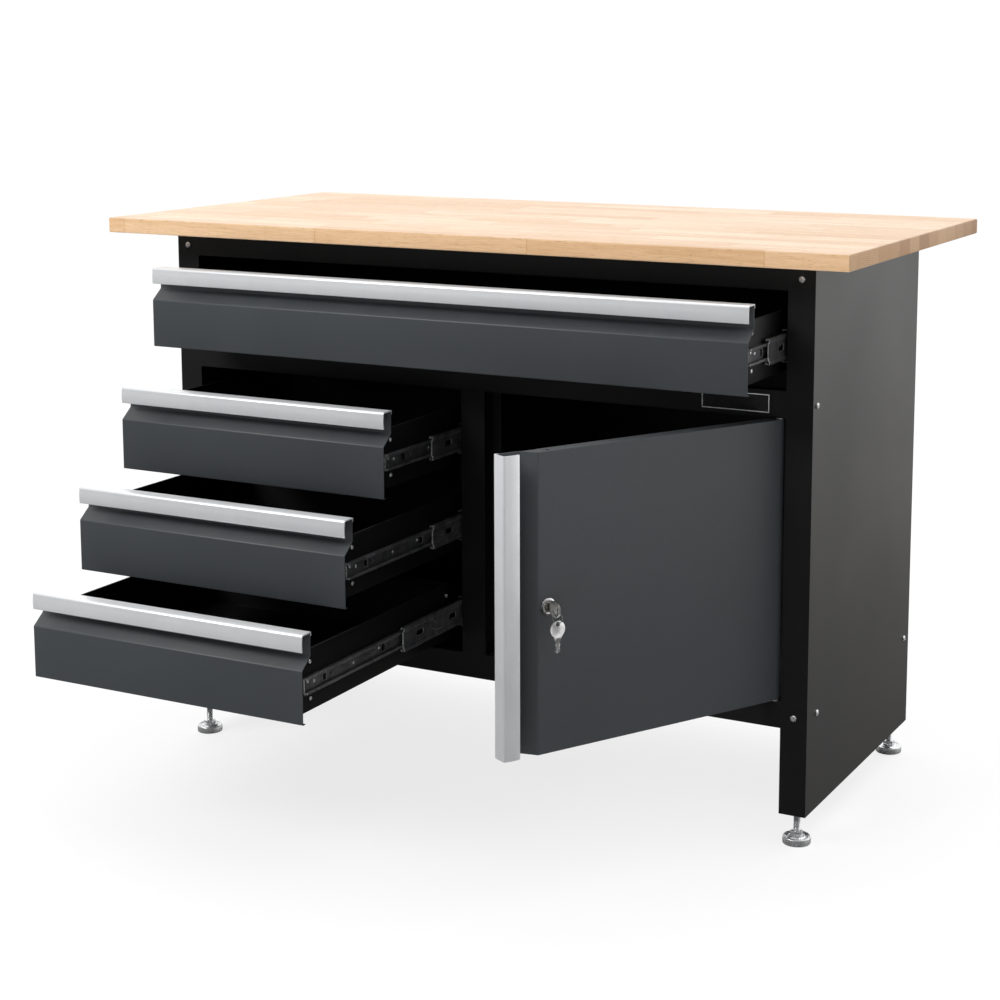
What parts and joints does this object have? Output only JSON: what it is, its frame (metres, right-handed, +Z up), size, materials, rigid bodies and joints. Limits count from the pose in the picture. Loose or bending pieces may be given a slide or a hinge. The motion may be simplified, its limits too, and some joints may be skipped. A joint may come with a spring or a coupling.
{
  "type": "workbench with drawers",
  "caption": "Free-standing steel workbench with a wooden top, a wide drawer, a column of narrow drawers on ball slides, a locking cupboard door and levelling feet.",
  "frame": {"origin": "on the floor, under the middle of the worktop", "axes": "+X to the right along the worktop, +Y from the drawers to the back, +Z up"},
  "size_m": [1.2, 0.935, 0.843],
  "materials": {
    "beech_top": "light finger-jointed hardwood, oiled, satin",
    "frame_black": "black powder coat, satin",
    "tray_black": "black powder coat, satin",
    "front_grey": "anthracite powder coat, satin",
    "aluminium": "natural anodised, satin",
    "slide_steel": "black zinc plate with bright edges",
    "zinc": "bright zinc plate",
    "lock_chrome": "polished nickel",
    "key_steel": "nickel-plated, tumbled",
    "badge": "blank plate, black, gloss"
  },
  "bodies": {
    "cabinet": {"worktop": "beech_top", "left_side_panel": "frame_black", "right_side_panel": "frame_black", "top_front_rail": "frame_black", "middle_front_rail": "frame_black", "bottom_front_rail": "frame_black", "top_back_rail": "frame_black", "divider_post": "frame_black", "left_liner": "frame_black", "right_liner": "frame_black", "back_panel": "frame_black", "floor_panel": "frame_black", "badge_plate": "badge", "frame_bolts": "zinc", "frame_nuts": "zinc", "worktop_screws": "zinc", "foot_plates": "frame_black", "cabinet_rails": "slide_steel", "hinge_pins": "zinc"},
    "wide_drawer": {"wide_drawer_front": "front_grey", "wide_drawer_handle": "aluminium", "wide_drawer_tray": "tray_black", "wide_drawer_inner_rails": "slide_steel", "wide_drawer_screws": "zinc"},
    "wide_drawer_slide": {"wide_drawer_middle_rails": "slide_steel"},
    "upper_drawer": {"upper_drawer_front": "front_grey", "upper_drawer_handle": "aluminium", "upper_drawer_tray": "tray_black", "upper_drawer_inner_rails": "slide_steel", "upper_drawer_screws": "zinc"},
    "upper_drawer_slide": {"upper_drawer_middle_rails": "slide_steel"},
    "middle_drawer": {"middle_drawer_front": "front_grey", "middle_drawer_handle": "aluminium", "middle_drawer_tray": "tray_black", "middle_drawer_inner_rails": "slide_steel", "middle_drawer_screws": "zinc"},
    "middle_drawer_slide": {"middle_drawer_middle_rails": "slide_steel"},
    "lower_drawer": {"lower_drawer_front": "front_grey", "lower_drawer_handle": "aluminium", "lower_drawer_tray": "tray_black", "lower_drawer_inner_rails": "slide_steel", "lower_drawer_screws": "zinc"},
    "lower_drawer_slide": {"lower_drawer_middle_rails": "slide_steel"},
    "door": {"door_panel": "front_grey", "door_handle": "aluminium", "lock_barrel": "lock_chrome", "lock_nut": "zinc"},
    "lock": {"lock_plug": "lock_chrome", "lock_cam": "zinc", "door_key": "key_steel"},
    "key_ring": {"key_ring": "key_steel"},
    "spare_key": {"spare_key": "key_steel"},
    "foot_front_left": {"foot_pad_front_left": "zinc", "foot_stud_front_left": "zinc"},
    "foot_front_right": {"foot_pad_front_right": "zinc", "foot_stud_front_right": "zinc"},
    "foot_back_left": {"foot_pad_back_left": "zinc", "foot_stud_back_left": "zinc"},
    "foot_back_right": {"foot_pad_back_right": "zinc", "foot_stud_back_right": "zinc"}
  },
  "joints": [
    {"name": "wide_drawer_travel", "type": "slide", "parent": "cabinet", "child": "wide_drawer", "axis": [0, -1, 0], "range_m": [-0.125, 0.288]},
    {"name": "wide_drawer_slide_travel", "type": "slide", "parent": "cabinet", "child": "wide_drawer_slide", "axis": [0, -1, 0], "range_m": [-0.0625, 0.144]},
    {"name": "upper_drawer_travel", "type": "slide", "parent": "cabinet", "child": "upper_drawer", "axis": [0, -1, 0], "range_m": [-0.205, 0.208]},
    {"name": "upper_drawer_slide_travel", "type": "slide", "parent": "cabinet", "child": "upper_drawer_slide", "axis": [0, -1, 0], "range_m": [-0.1025, 0.104]},
    {"name": "middle_drawer_travel", "type": "slide", "parent": "cabinet", "child": "middle_drawer", "axis": [0, -1, 0], "range_m": [-0.307, 0.106]},
    {"name": "middle_drawer_slide_travel", "type": "slide", "parent": "cabinet", "child": "middle_drawer_slide", "axis": [0, -1, 0], "range_m": [-0.1535, 0.053]},
    {"name": "lower_drawer_travel", "type": "slide", "parent": "cabinet", "child": "lower_drawer", "axis": [0, -1, 0], "range_m": [-0.413, 0]},
    {"name": "lower_drawer_slide_travel", "type": "slide", "parent": "cabinet", "child": "lower_drawer_slide", "axis": [0, -1, 0], "range_m": [-0.2065, 0]},
    {"name": "door_hinge", "type": "hinge", "parent": "cabinet", "child": "door", "pos_m": [0.477, -0.216, 0.404], "axis": [0, 0, 1], "range_deg": [-61.1, 43.9]},
    {"name": "lock_turn", "type": "hinge", "parent": "door", "child": "lock", "pos_m": [0.29716, -0.5542, 0.404], "axis": [-0.8755, 0.4833, 0], "range_deg": [0, 90]},
    {"name": "key_ring_swing", "type": "hinge", "parent": "lock", "child": "key_ring", "pos_m": [0.31586, -0.56453, 0.39998], "axis": [0.4833, 0.8755, 0], "range_deg": [-60, 12]},
    {"name": "spare_key_swing", "type": "hinge", "parent": "key_ring", "child": "spare_key", "pos_m": [0.31586, -0.56453, 0.38638], "axis": [-0.8755, 0.4833, 0], "range_deg": [-40, 40]},
    {"name": "foot_front_left_height", "type": "slide", "parent": "cabinet", "child": "foot_front_left", "axis": [0, 0, -1], "range_m": [-0.02, 0.025]},
    {"name": "foot_front_right_height", "type": "slide", "parent": "cabinet", "child": "foot_front_right", "axis": [0, 0, -1], "range_m": [-0.02, 0.025]},
    {"name": "foot_back_left_height", "type": "slide", "parent": "cabinet", "child": "foot_back_left", "axis": [0, 0, -1], "range_m": [-0.02, 0.025]},
    {"name": "foot_back_right_height", "type": "slide", "parent": "cabinet", "child": "foot_back_right", "axis": [0, 0, -1], "range_m": [-0.02, 0.025]}
  ],
  "couplings": [
    {"joint": "wide_drawer_slide_travel", "follows": "wide_drawer_travel", "ratio": 0.5},
    {"joint": "upper_drawer_slide_travel", "follows": "upper_drawer_travel", "ratio": 0.5},
    {"joint": "middle_drawer_slide_travel", "follows": "middle_drawer_travel", "ratio": 0.5},
    {"joint": "lower_drawer_slide_travel", "follows": "lower_drawer_travel", "ratio": 0.5}
  ]
}
